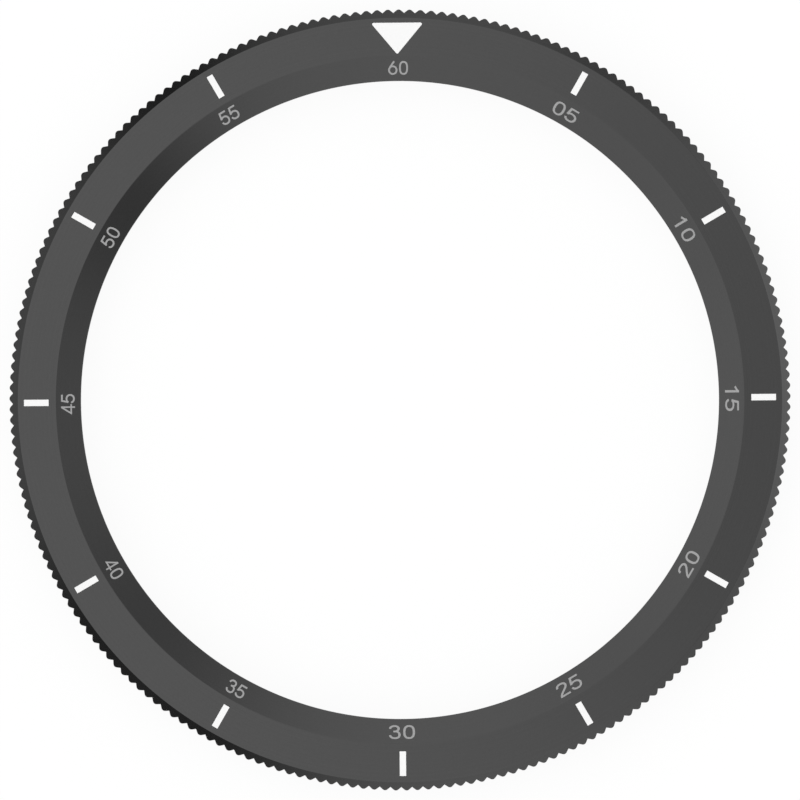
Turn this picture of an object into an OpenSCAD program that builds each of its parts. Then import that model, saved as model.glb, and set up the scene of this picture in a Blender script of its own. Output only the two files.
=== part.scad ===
// Rotating count-up bezel of a smartwatch. A coin-edge ring with a minute scale turns
// on a fixed seat ring. A snap ring holds it down, and three sprung balls rise into an
// index ring under it to give 24 clicks a turn.
// The origin is the centre of the seat ring's underside. +Z points out of the dial and
// +Y at the 60 mark.

/* [Bezel ring] */
// Diameter over the tips of the coin edge
bezel_d = 45; // [42:0.1:50]
// Width of the rim chamfer, from the tooth tips in to the main face
rim_w = 0.505; // [0.36:0.005:0.6]
// Width of the main face, from the rim chamfer in to the ridge
face_w = 2.19; // [2:0.01:2.5]
// Width of the number bevel, from the ridge in to the opening
bevel_w = 1.425; // [1.3:0.025:2]
// Thickness of the lip at the opening
lip_t = 0.61; // [0.5:0.01:1]
// Slope of the number bevel, down into the opening
bevel_slope = 28; // [18:1:34]
// Slope of the main face, down towards the coin edge
face_slope = 6; // [2:1:10]
// Slope of the rim chamfer
rim_slope = 38; // [25:1:50]
// Thickness of the skirt, from its bore to the roots of the coin edge
skirt_wall = 0.74; // [0.6:0.02:0.84]
// Gap between the skirt's lower edge and the seat ring's flange
skirt_gap = 0.1; // [0.05:0.01:0.2]
// Chamfer under the coin edge
skirt_chamfer = 0.25; // [0.15:0.05:0.35]

/* [Coin edge] */
// Number of teeth
tooth_count = 225; // [180:1:260]
// Radius of a tooth's rounded crest
crest_r = 0.2; // [0.14:0.01:0.3]
// Angle of a tooth's flank to the rim
flank_angle = 40; // [32:1:48]
// Turn of the first tooth from the 60 mark, clockwise, in degrees
tooth_turn = 0.26; // [0:0.02:1.6]

/* [Markers] */
// Distance from the rim chamfer in to the outer ends of the bars
bar_margin = 0.34; // [0.2:0.01:0.5]
// Distance from the ridge out to the inner ends of the bars
bar_inset = 0.42; // [0.2:0.01:0.8]
// Width of a bar
bar_w = 0.375; // [0.3:0.005:0.6]
// Distance from the rim chamfer in to the triangle's base
triangle_margin = 0.265; // [0.2:0.005:0.5]
// Distance from the ridge out to the triangle's point at its sharp corner
point_inset = 0.09; // [0.08:0.01:0.4]
// Width of the triangle's base at its sharp corners
triangle_w = 3.06; // [2:0.02:3.2]
// Radius of the triangle's corners
triangle_corner_r = 0.085; // [0.04:0.005:0.12]
// Depth of a marker's pocket at its shallow end
pocket_depth = 0.18; // [0.12:0.02:0.24]
// Gap between a marker and the wall of its pocket
inlay_gap = 0.006; // [0.004:0.002:0.02]

/* [Seat ring] */
// Height of the seat ring
seat_h = 1.75; // [1.7:0.05:2]
// How far the opening's lip hides the bore of the seat ring
lip_cover = 0.2; // [0.1:0.05:0.3]
// Thickness of the flange under the skirt
flange_t = 0.35; // [0.25:0.05:0.35]
// How far the flange stays inside the tooth roots
flange_inset = 0.3; // [0.2:0.05:0.5]
// Radial gap between the bezel's skirt and the seat ring
running_gap = 0.05; // [0.03:0.01:0.08]
// Lead-in chamfer on the seat ring and in the skirt
lead_in = 0.12; // [0.06:0.02:0.16]

/* [Case screws] */
// Number of tapped holes for the case screws
case_screw_count = 4; // [3:1:4]
// Tapping drill for the case screws
case_hole_d = 1.6; // [1.2:0.05:1.7]
// Depth of the tapped holes
case_hole_depth = 1.2; // [0.8:0.1:1.3]

/* [Snap ring and seals] */
// Radial width of the snap ring's wire
snap_w = 0.54; // [0.46:0.02:0.6]
// Height of the snap ring's wire
snap_h = 0.36; // [0.28:0.02:0.38]
// How deep the snap ring sits in the bezel's skirt
snap_bite = 0.26; // [0.2:0.02:0.3]
// Opening between the ends of the snap ring, in degrees
snap_opening = 10; // [4:1:20]
// Distance from the top of the seat ring down to the snap ring
snap_drop = 0.27; // [0.2:0.01:0.3]
// Thickness of the dust seal's cord
dust_seal_d = 0.3; // [0.24:0.02:0.32]
// Height of the dust seal's middle above the seat ring's flange
dust_seal_rise = 0.32; // [0.26:0.01:0.34]
// Width of the gasket under the seat ring
gasket_w = 0.3; // [0.2:0.02:0.34]
// Thickness of the gasket, flush with the underside
gasket_t = 0.34; // [0.2:0.02:0.4]
// Width of the glide ring
glide_w = 0.36; // [0.24:0.02:0.4]
// Thickness of the glide ring
glide_t = 0.3; // [0.24:0.02:0.4]
// How far the glide ring stands above the seat ring
glide_proud = 0.15; // [0.12:0.01:0.2]
// Wall left beside each groove
groove_wall = 0.2; // [0.15:0.05:0.25]
// Free play of a ring in its groove
groove_play = 0.02; // [0.01:0.01:0.04]

/* [Index ring] */
// Clicks in a whole turn, in threes
click_count = 24; // [12:3:36]
// Thickness of the index ring
index_t = 0.5; // [0.4:0.05:0.6]
// Gap between the glide ring and the inner edge of the index ring
index_inset = 0.24; // [0.15:0.01:0.3]
// Gap between the index ring and the seat ring
index_gap = 0.1; // [0.08:0.02:0.14]
// Gap round the index ring in its recess
index_fit = 0.05; // [0.03:0.01:0.08]
// Depth of a notch
notch_depth = 0.26; // [0.2:0.02:0.3]
// Slope of a notch's sides
notch_slope = 30; // [28:1:40]
// Number of screws that hold the index ring
index_screw_count = 6; // [3:1:6]
// Shank diameter of an index screw
index_screw_d = 0.6; // [0.5:0.05:0.7]
// Head diameter of an index screw
index_head_d = 0.84; // [0.76:0.02:0.9]
// Distance from the index ring's edge in to the screws' middles
index_screw_inset = 0.58; // [0.54:0.02:0.62]
// How deep the screws go into the bezel ring
index_screw_grip = 0.42; // [0.3:0.02:0.5]
// How deep the screw heads lie under the index ring's face
index_head_sink = 0.02; // [0.01:0.01:0.04]
// Width of the slot in a screw's head
index_slot_w = 0.12; // [0.1:0.01:0.16]
// Depth of the slot in a screw's head
index_slot_depth = 0.08; // [0.06:0.01:0.1]
// Number of sensor magnets
magnet_count = 12; // [6:2:12]
// Diameter of a magnet
magnet_d = 1.2; // [0.8:0.1:1.3]
// Thickness of a magnet
magnet_t = 0.45; // [0.3:0.05:0.5]

/* [Click plungers] */
// Diameter of a ball
ball_d = 0.9; // [0.8:0.05:1]
// Gap between a ball and its notch at rest
ball_gap = 0.02; // [0.01:0.01:0.04]
// Gap between a ball and its sleeve
ball_play = 0.03; // [0.02:0.01:0.05]
// Wall of a sleeve
sleeve_wall = 0.15; // [0.1:0.01:0.25]
// Floor of a sleeve
sleeve_floor = 0.15; // [0.1:0.05:0.2]
// Thickness of the seat ring left under a sleeve
sleeve_z = 0.25; // [0.2:0.05:0.3]
// Thickness of the spring's wire
spring_wire_d = 0.1; // [0.08:0.01:0.11]
// Turns of a spring
spring_turns = 4; // [3:0.5:4.5]
// Gap round a spring in its sleeve
spring_play = 0.09; // [0.05:0.01:0.14]

/* [Hidden] */
$fn = 180;
PLUNGERS = ["a", "b", "c"];
MARKS_PER_TURN = 12;
BARS = [1 : MARKS_PER_TURN - 1];

// Overshoot of a cutting tool past the face that it opens
over = 0.1;
// Slack between a pressed-in piece and its hole
seat_slack = 0.005;
bezel_grey = [0.325, 0.325, 0.325];
steel_grey = [0.72, 0.73, 0.74];
spring_grey = [0.6, 0.61, 0.63];
seat_grey = [0.2, 0.2, 0.21];
rubber_black = [0.08, 0.08, 0.09];

// Coin edge
tip_r = bezel_d / 2;
tooth_pitch = 360 / tooth_count;
crest_centre_r = tip_r - crest_r;
valley_side = tip_r * tan(tooth_pitch / 2);
flank_side = crest_r * sin(flank_angle);
root_r = crest_centre_r + crest_r * cos(flank_angle)
    - (valley_side - flank_side) * tan(flank_angle);
crest_steps = [-1 : 0.5 : 1];

// Bezel ring, from the rim inwards
face_r = tip_r - rim_w;
ridge_r = face_r - face_w;
opening_r = ridge_r - bevel_w;
land_z = seat_h + glide_proud + groove_play;
lip_z = land_z + lip_t;
ridge_z = lip_z + bevel_w * tan(bevel_slope);
face_edge_z = ridge_z - face_w * tan(face_slope);
skirt_z = flange_t + skirt_gap;
skirt_bore_r = root_r - skirt_wall;

// Seat ring
journal_r = skirt_bore_r - running_gap;
flange_r = root_r - flange_inset;
seat_bore_r = opening_r + lip_cover;
seal_floor_r = skirt_bore_r - groove_play - dust_seal_d - groove_play;
glide_inner_r = seat_bore_r + groove_wall;
glide_outer_r = glide_inner_r + glide_w;
glide_floor_z = seat_h + glide_proud - glide_t;
gasket_inner_r = glide_inner_r;
dust_seal_z = flange_t + dust_seal_rise;

// Snap ring
snap_outer_r = skirt_bore_r + snap_bite;
snap_inner_r = snap_outer_r - snap_w;
snap_floor_r = snap_inner_r - groove_wall / 2;
snap_z = seat_h - snap_drop - snap_h;

// Index ring
index_z = seat_h + index_gap;
plate_z = index_z + index_t;
index_outer_r = skirt_bore_r - index_fit;
index_inner_r = glide_outer_r + index_inset;
land_r = index_inner_r - 2 * index_fit;

// Click plungers, midway between the grooves of the glide ring and the snap ring
ball_r = ball_d / 2;
sleeve_bore_r = ball_r + ball_play;
sleeve_r = sleeve_bore_r + sleeve_wall;
track_r = (glide_outer_r + groove_play + snap_floor_r) / 2;
notch_half_w = notch_depth / tan(notch_slope);
click_angle = 360 / click_count;
ball_z = index_z + notch_depth - (ball_r + ball_gap) / cos(notch_slope);
spring_wire_r = spring_wire_d / 2;
spring_r = sleeve_bore_r - spring_play - spring_wire_r;
spring_low_z = sleeve_z + sleeve_floor + spring_wire_r + seat_slack;
spring_high_z = ball_z - seat_slack - sqrt(pow(ball_r + spring_wire_r, 2) - pow(spring_r, 2));
spring_steps_a_turn = 14;
spring_sides = 6;

// Index screws
index_screw_r = index_outer_r - index_screw_inset;
index_head_h = (index_head_d - index_screw_d) / 2;

// Markers
bar_outer_r = face_r - bar_margin;
bar_l = face_w - bar_margin - bar_inset;
triangle_outer_r = face_r - triangle_margin;
triangle_h = face_w - triangle_margin - point_inset;
marks_outer_r = max(bar_outer_r, triangle_outer_r);
pocket_z = ridge_z - (marks_outer_r - ridge_r) * tan(face_slope) - pocket_depth;

function bar_name(mark) = str("marker_", mark < 2 ? "0" : "", mark * 60 / MARKS_PER_TURN);

// A point at a radius, turned clockwise from the 60 mark
function dial(r, angle) = [r * sin(angle), r * cos(angle)];

// Height of the main face at a radius
function face_height(r) = ridge_z - (r - ridge_r) * tan(face_slope);

// Height of the rim chamfer at a radius
function rim_height(r) = face_edge_z - (r - face_r) * tan(rim_slope);

// One tooth: the valley before it, then points round its crest
function tooth(angle) = concat(
    [dial(root_r, angle - tooth_pitch / 2)],
    [for (step = crest_steps)
        let (swing = step * flank_angle)
        dial(crest_centre_r, angle) + crest_r * dial(1, angle + swing)]
);

// A triangle with rounded corners, base outwards, its point towards the centre
function rounded_triangle(w, h, r) =
    let (
        slope = atan(2 * h / w),
        base_in = r / tan(slope / 2),
        point_up = r / cos(slope),
        centres = [[w / 2 - base_in, h - r], [-w / 2 + base_in, h - r], [0, point_up]],
        starts = [slope - 90, 90, 270 - slope],
        sweeps = [180 - slope, 180 - slope, 2 * slope]
    )
    [for (corner = [0 : 2], step = [0 : 0.25 : 1])
        let (a = starts[corner] + step * sweeps[corner])
        centres[corner] + r * [cos(a), sin(a)]];

// Turns its children about the dial's axis, clockwise from the 60 mark
module at_dial(angle) {
    rotate([0, 0, -angle]) children();
}

// Repeats its children round the dial
module round_dial(count, first = 0) {
    for (i = [0 : count - 1]) at_dial(first + i * 360 / count) children();
}

// A ring of rectangular section
module flat_ring(inner_r, outer_r, low_z, high_z) {
    rotate_extrude()
        translate([inner_r, low_z]) square([outer_r - inner_r, high_z - low_z]);
}

// Outline of the coin edge, seen from above
module coin_edge() {
    polygon([for (i = [0 : tooth_count - 1]) each tooth(tooth_turn + i * tooth_pitch)]);
}

// Section of the bezel ring from its opening to past the tooth tips
module bezel_section() {
    reach = tip_r + over;
    difference() {
        polygon([
            [opening_r, land_z],
            [opening_r, lip_z],
            [ridge_r, ridge_z],
            [face_r, face_edge_z],
            [reach, rim_height(reach)],
            [reach, skirt_z + skirt_chamfer + over],
            [tip_r - skirt_chamfer, skirt_z],
            [skirt_bore_r + lead_in, skirt_z],
            [skirt_bore_r, skirt_z + lead_in],
            [skirt_bore_r, plate_z],
            [land_r, plate_z],
            [land_r, land_z]
        ]);
        translate([skirt_bore_r - over, snap_z - groove_play])
            square([over + snap_bite + groove_play, snap_h + 2 * groove_play]);
    }
}

// Outlines of the markers, at their places on the dial
module bar_outline(grow = 0) {
    translate([-bar_w / 2 - grow, bar_outer_r - bar_l - grow])
        square([bar_w + 2 * grow, bar_l + 2 * grow]);
}

module triangle_outline(grow = 0) {
    slope = atan(2 * triangle_h / triangle_w);
    sharp_h = triangle_h + grow + grow / cos(slope);
    sharp_w = 2 * sharp_h / tan(slope);
    translate([0, triangle_outer_r + grow - sharp_h])
        polygon(rounded_triangle(sharp_w, sharp_h, triangle_corner_r + grow));
}

// The wedge of the main face that the inlays are cut from
module inlay_blank() {
    inner = ridge_r - over;
    outer = face_r;
    rotate_extrude()
        polygon([
            [inner, pocket_z],
            [inner, face_height(inner)],
            [outer, face_height(outer)],
            [outer, pocket_z]
        ]);
}

module pocket_cutter() {
    translate([0, 0, pocket_z]) linear_extrude(ridge_z) children();
}

module bezel_ring() {
    color(bezel_grey)
    difference() {
        intersection() {
            linear_extrude(ridge_z + over) coin_edge();
            rotate_extrude() bezel_section();
        }
        pocket_cutter() triangle_outline(inlay_gap);
        for (mark = BARS)
            at_dial(mark * 360 / MARKS_PER_TURN) pocket_cutter() bar_outline(inlay_gap);
        magnet_places()
            translate([0, 0, plate_z - over])
            cylinder(h = over + magnet_t + groove_play, d = magnet_d + 2 * groove_play, $fn = 48);
        index_screw_places()
            translate([0, 0, plate_z - over])
            cylinder(h = over + index_screw_grip + groove_play, d = index_screw_d, $fn = 32);
    }
}

module minute_bar(mark) {
    color("white")
    intersection() {
        inlay_blank();
        at_dial(mark * 360 / MARKS_PER_TURN) pocket_cutter() bar_outline();
    }
}

module marker_60() {
    color("white")
    intersection() {
        inlay_blank();
        pocket_cutter() triangle_outline();
    }
}

module magnet_places() {
    round_dial(magnet_count, 180 / magnet_count) translate([0, track_r, 0]) children();
}

module index_screw_places() {
    round_dial(index_screw_count, click_angle / 2) translate([0, index_screw_r, 0]) children();
}

// Cutter of a countersunk hole, from below the index ring's face up through it
module countersunk_cutter() {
    head_r = index_head_d / 2 + groove_play;
    shank_r = index_screw_d / 2 + groove_play;
    cone_z = index_z + index_head_sink;
    rotate_extrude($fn = 32)
        polygon([
            [0, index_z - over],
            [head_r, index_z - over],
            [head_r, cone_z],
            [shank_r, cone_z + index_head_h],
            [shank_r, plate_z + over],
            [0, plate_z + over]
        ]);
}

module index_ring() {
    color(steel_grey)
    difference() {
        flat_ring(index_inner_r, index_outer_r, index_z, plate_z);
        round_dial(click_count)
            translate([0, index_outer_r + over, index_z])
            rotate([90, 0, 0])
            linear_extrude(index_outer_r - index_inner_r + 2 * over)
            polygon([
                [-notch_half_w - over / tan(notch_slope), -over],
                [notch_half_w + over / tan(notch_slope), -over],
                [0, notch_depth]
            ]);
        index_screw_places() countersunk_cutter();
    }
}

module index_screws() {
    head_z = index_z + index_head_sink;
    shank_d = index_screw_d - 2 * seat_slack;
    color(steel_grey)
    index_screw_places()
        difference() {
            union() {
                translate([0, 0, head_z])
                    cylinder(h = index_head_h, d1 = index_head_d, d2 = shank_d, $fn = 32);
                translate([0, 0, head_z])
                    cylinder(h = plate_z + index_screw_grip - head_z, d = shank_d, $fn = 32);
            }
            translate([-index_head_d, -index_slot_w / 2, head_z - over])
                cube([2 * index_head_d, index_slot_w, over + index_slot_depth]);
        }
}

module sensor_magnets() {
    color(spring_grey)
    magnet_places()
        translate([0, 0, plate_z]) cylinder(h = magnet_t, d = magnet_d, $fn = 48);
}

module snap_ring() {
    color(spring_grey)
    rotate([0, 0, snap_opening / 2])
        rotate_extrude(angle = 360 - snap_opening)
        translate([snap_inner_r, snap_z]) square([snap_w, snap_h]);
}

module seat_section() {
    polygon([
        [seat_bore_r, 0],
        [seat_bore_r, seat_h],
        [journal_r - lead_in, seat_h],
        [journal_r, seat_h - lead_in],
        [journal_r, flange_t],
        [flange_r, flange_t],
        [flange_r, 0]
    ]);
}

module seat_grooves() {
    translate([snap_floor_r, snap_z - groove_play])
        square([journal_r, snap_h + 2 * groove_play]);
    translate([seal_floor_r, dust_seal_z - dust_seal_d / 2 - groove_play])
        square([journal_r, dust_seal_d + 2 * groove_play]);
    translate([glide_inner_r - groove_play, glide_floor_z])
        square([glide_w + 2 * groove_play, glide_t]);
    translate([gasket_inner_r - groove_play, -over])
        square([gasket_w + 2 * groove_play, over + gasket_t]);
}

module plunger_places() {
    for (i = [0 : len(PLUNGERS) - 1]) at_plunger(i) children();
}

module at_plunger(i) {
    at_dial(i * 360 / len(PLUNGERS)) translate([0, track_r, 0]) children();
}

module seat_ring() {
    color(seat_grey)
    difference() {
        rotate_extrude()
            difference() {
                seat_section();
                seat_grooves();
            }
        plunger_places()
            translate([0, 0, sleeve_z])
            cylinder(h = seat_h, r = sleeve_r + seat_slack, $fn = 64);
        round_dial(case_screw_count, 180 / case_screw_count)
            translate([0, track_r, -over])
            cylinder(h = over + case_hole_depth, d = case_hole_d, $fn = 48);
    }
}

module seat_gasket() {
    color(rubber_black)
    flat_ring(gasket_inner_r, gasket_inner_r + gasket_w, 0, gasket_t);
}

module glide_ring() {
    color("ivory")
    flat_ring(glide_inner_r, glide_outer_r, glide_floor_z, glide_floor_z + glide_t);
}

module dust_seal() {
    color(rubber_black)
    rotate_extrude()
        translate([seal_floor_r + groove_play + dust_seal_d / 2, dust_seal_z])
        circle(d = dust_seal_d, $fn = 32);
}

module plunger_sleeve(i) {
    color("goldenrod")
    at_plunger(i)
    translate([0, 0, sleeve_z])
        difference() {
            cylinder(h = seat_h - sleeve_z, r = sleeve_r, $fn = 64);
            translate([0, 0, sleeve_floor]) cylinder(h = seat_h, r = sleeve_bore_r, $fn = 64);
        }
}

module plunger_ball(i) {
    color(steel_grey)
    at_plunger(i)
    translate([0, 0, ball_z]) sphere(r = ball_r, $fn = 64);
}

// Points of a wire ring across the spring, at a share of its length
function spring_section(share) =
    let (
        turn = 360 * spring_turns * share,
        z = spring_low_z + (spring_high_z - spring_low_z) * share
    )
    [for (side = [0 : spring_sides - 1])
        let (
            a = 360 * side / spring_sides,
            r = spring_r + spring_wire_r * cos(a)
        )
        [r * cos(turn), r * sin(turn), z + spring_wire_r * sin(a)]];

// A coil spring as one unbroken wire of triangles
module plunger_spring(i) {
    steps = round(spring_turns * spring_steps_a_turn);
    points = [for (k = [0 : steps]) each spring_section(k / steps)];
    wall = [for (k = [0 : steps - 1], side = [0 : spring_sides - 1])
        let (
            next = (side + 1) % spring_sides,
            a = k * spring_sides + side,
            b = k * spring_sides + next,
            c = b + spring_sides,
            d = a + spring_sides
        )
        each [[a, b, c], [a, c, d]]];
    start_cap = [for (side = [1 : spring_sides - 2]) [0, side + 1, side]];
    last = steps * spring_sides;
    end_cap = [for (side = [1 : spring_sides - 2]) [last, last + side, last + side + 1]];
    color(spring_grey)
    at_plunger(i)
    polyhedron(points = points, faces = concat(wall, start_cap, end_cap));
}

bezel_ring();
marker_60();
for (mark = BARS)
    minute_bar(mark);
index_ring();
index_screws();
sensor_magnets();
snap_ring();
seat_ring();
seat_gasket();
glide_ring();
dust_seal();
for (i = [0 : len(PLUNGERS) - 1]) {
    plunger_sleeve(i);
    plunger_spring(i);
    plunger_ball(i);
}
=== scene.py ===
"""Looks of a rotating smartwatch bezel ring: coin edge, minute scale and click works.

Everything is worked out in millimetres and put into the meshes in metres. Angles run
clockwise from the 60 mark, as a minute scale does.
"""
import math

import bpy
import numpy as np
from mathutils import Matrix


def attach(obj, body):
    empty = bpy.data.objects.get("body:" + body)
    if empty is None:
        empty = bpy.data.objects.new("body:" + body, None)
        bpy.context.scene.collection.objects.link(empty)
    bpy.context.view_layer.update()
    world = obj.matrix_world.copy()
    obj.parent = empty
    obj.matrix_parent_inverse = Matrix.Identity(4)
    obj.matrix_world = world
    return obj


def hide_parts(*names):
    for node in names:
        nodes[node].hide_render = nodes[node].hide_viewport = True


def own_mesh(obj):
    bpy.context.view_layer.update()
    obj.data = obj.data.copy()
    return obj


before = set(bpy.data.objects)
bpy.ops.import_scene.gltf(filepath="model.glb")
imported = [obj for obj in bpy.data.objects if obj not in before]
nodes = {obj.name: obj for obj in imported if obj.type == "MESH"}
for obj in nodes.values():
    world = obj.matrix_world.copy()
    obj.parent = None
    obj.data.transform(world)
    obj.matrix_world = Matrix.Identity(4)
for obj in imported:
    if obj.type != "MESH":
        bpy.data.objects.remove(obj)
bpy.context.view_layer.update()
MM = 0.001
SHARP = math.radians(40)

# Bezel ring
TIP_R = 22.5
RIM_W = 0.505
FACE_W = 2.19
BEVEL_W = 1.425
FACE_R = TIP_R - RIM_W
RIDGE_R = FACE_R - FACE_W
OPENING_R = RIDGE_R - BEVEL_W
BEVEL_SLOPE = math.radians(28)
FACE_SLOPE = math.radians(6)
RIM_SLOPE = math.radians(38)
LAND_Z = 1.92
LIP_T = 0.61
LIP_Z = LAND_Z + LIP_T
RIDGE_Z = LIP_Z + BEVEL_W * math.tan(BEVEL_SLOPE)
FACE_EDGE_Z = RIDGE_Z - FACE_W * math.tan(FACE_SLOPE)
SKIRT_Z = 0.45
SKIRT_WALL = 0.74
SKIRT_CHAMFER = 0.25
LEAD_IN = 0.12

# Coin edge
TOOTH_COUNT = 225
CREST_R = 0.2
FLANK = math.radians(40)
# In degrees
TOOTH_TURN = 0.26
TOOTH_PITCH = 2 * math.pi / TOOTH_COUNT
CREST_CENTRE_R = TIP_R - CREST_R
ROOT_R = (CREST_CENTRE_R + CREST_R * math.cos(FLANK)
          - (TIP_R * math.tan(TOOTH_PITCH / 2) - CREST_R * math.sin(FLANK)) * math.tan(FLANK))
SKIRT_BORE_R = ROOT_R - SKIRT_WALL
# Rounding of the teeth's upper and lower edges, and where fine and coarse loops meet on the rim chamfer
TOOTH_EDGE = 0.025
FINE_FROM = 0.07
COARSE_TO = 0.055

# Markers
BAR_MARGIN = 0.34
BAR_INSET = 0.42
BAR_OUTER_R = FACE_R - BAR_MARGIN
BAR_L = BAR_OUTER_R - RIDGE_R - BAR_INSET
BAR_W = 0.375
BAR_CORNER_R = 0.02
TRIANGLE_MARGIN = 0.265
POINT_INSET = 0.09
TRIANGLE_OUTER_R = FACE_R - TRIANGLE_MARGIN
TRIANGLE_H = TRIANGLE_OUTER_R - RIDGE_R - POINT_INSET
TRIANGLE_W = 3.06
TRIANGLE_CORNER_R = 0.085
INLAY_GAP = 0.006
POCKET_DEPTH = 0.18
POCKET_Z = RIDGE_Z - (TRIANGLE_OUTER_R - RIDGE_R) * math.tan(FACE_SLOPE) - POCKET_DEPTH

# Seat ring and what lies in it
SEAT_H = 1.75
FLANGE_T = 0.35
LIP_COVER = 0.2
RUNNING_GAP = 0.05
FLANGE_INSET = 0.3
PLAY = 0.02
GROOVE_WALL = 0.2
SEAT_BORE_R = OPENING_R + LIP_COVER
JOURNAL_R = SKIRT_BORE_R - RUNNING_GAP
FLANGE_R = ROOT_R - FLANGE_INSET
GLIDE_W = 0.36
GLIDE_PROUD = 0.15
GLIDE_SUNK = 0.15
GLIDE_IN_R = SEAT_BORE_R + GROOVE_WALL
GLIDE_OUT_R = GLIDE_IN_R + GLIDE_W
GLIDE_Z, GLIDE_TOP_Z = SEAT_H - GLIDE_SUNK, SEAT_H + GLIDE_PROUD
GASKET_W = 0.3
GASKET_T = 0.34
GASKET_IN_R = SEAT_BORE_R + GROOVE_WALL
GASKET_OUT_R = GASKET_IN_R + GASKET_W
SEAL_D = 0.3
SEAL_RISE = 0.32
SEAL_Z = FLANGE_T + SEAL_RISE
SEAL_FLOOR_R = SKIRT_BORE_R - SEAL_D - 2 * PLAY
SNAP_W = 0.54
SNAP_H = 0.36
SNAP_BITE = 0.26
SNAP_DROP = 0.27
SNAP_OUT_R = SKIRT_BORE_R + SNAP_BITE
SNAP_IN_R = SNAP_OUT_R - SNAP_W
SNAP_FLOOR_R = SNAP_IN_R - GROOVE_WALL / 2
SNAP_TOP_Z = SEAT_H - SNAP_DROP
SNAP_Z = SNAP_TOP_Z - SNAP_H
SNAP_OPENING = math.radians(10)
INDEX_GAP = 0.1
INDEX_T = 0.5
INDEX_INSET = 0.24
INDEX_FIT = 0.05
PLATE_Z = SEAT_H + INDEX_GAP + INDEX_T
LAND_R = GLIDE_OUT_R + INDEX_INSET - 2 * INDEX_FIT
TRACK_R = (GLIDE_OUT_R + PLAY + SNAP_FLOOR_R) / 2
HOLE_R = 0.8
HOLE_DEPTH = 1.2
MAGNET_POCKET_R = 0.62
MAGNET_POCKET_T = 0.47

# Click plungers
BALL_R = 0.45
BALL_GAP = 0.02
BALL_PLAY = 0.03
NOTCH_DEPTH = 0.26
NOTCH_SLOPE = math.radians(30)
SLEEVE_WALL = 0.15
SLEEVE_FLOOR = 0.15
SLEEVE_BORE_R = BALL_R + BALL_PLAY
SLEEVE_R = SLEEVE_BORE_R + SLEEVE_WALL
SLEEVE_Z = 0.25
BALL_Z = SEAT_H + INDEX_GAP + NOTCH_DEPTH - (BALL_R + BALL_GAP) / math.cos(NOTCH_SLOPE)
WIRE_R = 0.05
SPRING_PLAY = 0.09
SLACK = 0.005
SPRING_R = SLEEVE_BORE_R - SPRING_PLAY - WIRE_R
SPRING_FOOT_Z = SLEEVE_Z + SLEEVE_FLOOR
SPRING_LOW_Z = SPRING_FOOT_Z + WIRE_R + SLACK
SPRING_HIGH_Z = BALL_Z - SLACK - math.sqrt((BALL_R + WIRE_R) ** 2 - SPRING_R ** 2)
PLUNGERS = {"a": 0, "b": 120, "c": 240}
# Overshoot of a cutter past the face that it opens
OVER = 0.1


# Shapes

def polar(r, angle, z):
    """Points at a radius and a clockwise angle from the 60 mark, with a height."""
    r, angle, z = np.broadcast_arrays(r, angle, z)
    return np.stack([r * np.sin(angle), r * np.cos(angle), z], axis=-1)


def rounded(corners, radius, steps=2):
    """A closed outline with each corner replaced by an arc of steps + 1 points.

    The arc runs from u0 to u1 about its centre as (sin((1-s) w) u0 + sin(s w) u1) / sin w, where w
    is its angle. It is made smaller where it would reach past 0.45 of a side."""
    corners = np.asarray(corners, float)
    before = np.roll(corners, 1, axis=0) - corners
    after = np.roll(corners, -1, axis=0) - corners
    len_b = np.linalg.norm(before, axis=1)
    len_a = np.linalg.norm(after, axis=1)
    before, after = before / len_b[:, None], after / len_a[:, None]
    half = np.arccos(np.clip((before * after).sum(axis=1), -1, 1)) / 2
    reach = np.minimum(np.asarray(radius) / np.tan(half), 0.45 * np.minimum(len_a, len_b))
    inward = before + after
    inward /= np.linalg.norm(inward, axis=1)[:, None]
    centre = corners + inward * (reach / np.cos(half))[:, None]
    start, end = corners + before * reach[:, None] - centre, corners + after * reach[:, None] - centre
    sweep = (math.pi - 2 * half)[:, None, None]
    s = np.linspace(0, 1, steps + 1)[None, :, None]
    arc = (np.sin((1 - s) * sweep) * start[:, None] + np.sin(s * sweep) * end[:, None]) / np.sin(sweep)
    return (centre[:, None] + arc).reshape(-1, 2)


def even_outline(outline, step):
    """The same closed outline with points added so that none are further apart than step."""
    gaps = np.linalg.norm(np.roll(outline, -1, axis=0) - outline, axis=1)
    counts = np.maximum(1, np.ceil(gaps / step).astype(int))
    start = np.repeat(outline, counts, axis=0)
    end = np.repeat(np.roll(outline, -1, axis=0), counts, axis=0)
    part = np.arange(counts.sum()) - np.repeat(np.cumsum(counts) - counts, counts)
    return start + (end - start) * (part / np.repeat(counts, counts))[:, None]


def between(rows, columns, wrap_rows, wrap_columns=True, first=0):
    """Quads of a grid of points, closed round in either direction."""
    r = np.arange(rows if wrap_rows else rows - 1)[:, None]
    c = np.arange(columns if wrap_columns else columns - 1)[None]
    r2, c2 = (r + 1) % rows, (c + 1) % columns
    quads = np.stack([r * columns + c, r * columns + c2, r2 * columns + c2, r2 * columns + c], axis=-1)
    return quads.reshape(-1, 4) + first


def fan(loop, tip, flip=False):
    """Triangles from a closed loop of point numbers to one point."""
    nxt = np.roll(loop, -1)
    tris = np.stack([loop, nxt, np.full(len(loop), tip)], axis=-1)
    return tris[:, ::-1] if flip else tris


def volume(points, faces):
    """Signed volume inside the faces: a sum of point triple products, positive when they face out."""
    total = 0.0
    for f in faces:
        for k in range(1, f.shape[1] - 1):
            a, b, c = points[f[:, 0]], points[f[:, k]], points[f[:, k + 1]]
            total += np.einsum("ij,ij->i", a, np.cross(b, c)).sum() / 6
    return total


def corners_of(mesh):
    """The mesh's points, one a row."""
    co = np.zeros(len(mesh.vertices) * 3)
    mesh.vertices.foreach_get("co", co)
    return co.reshape(-1, 3)


def facing_out(points, faces):
    """The same shell with its faces turned round where they face in."""
    return points, faces if volume(points, faces) > 0 else [f[:, ::-1] for f in faces]


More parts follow.
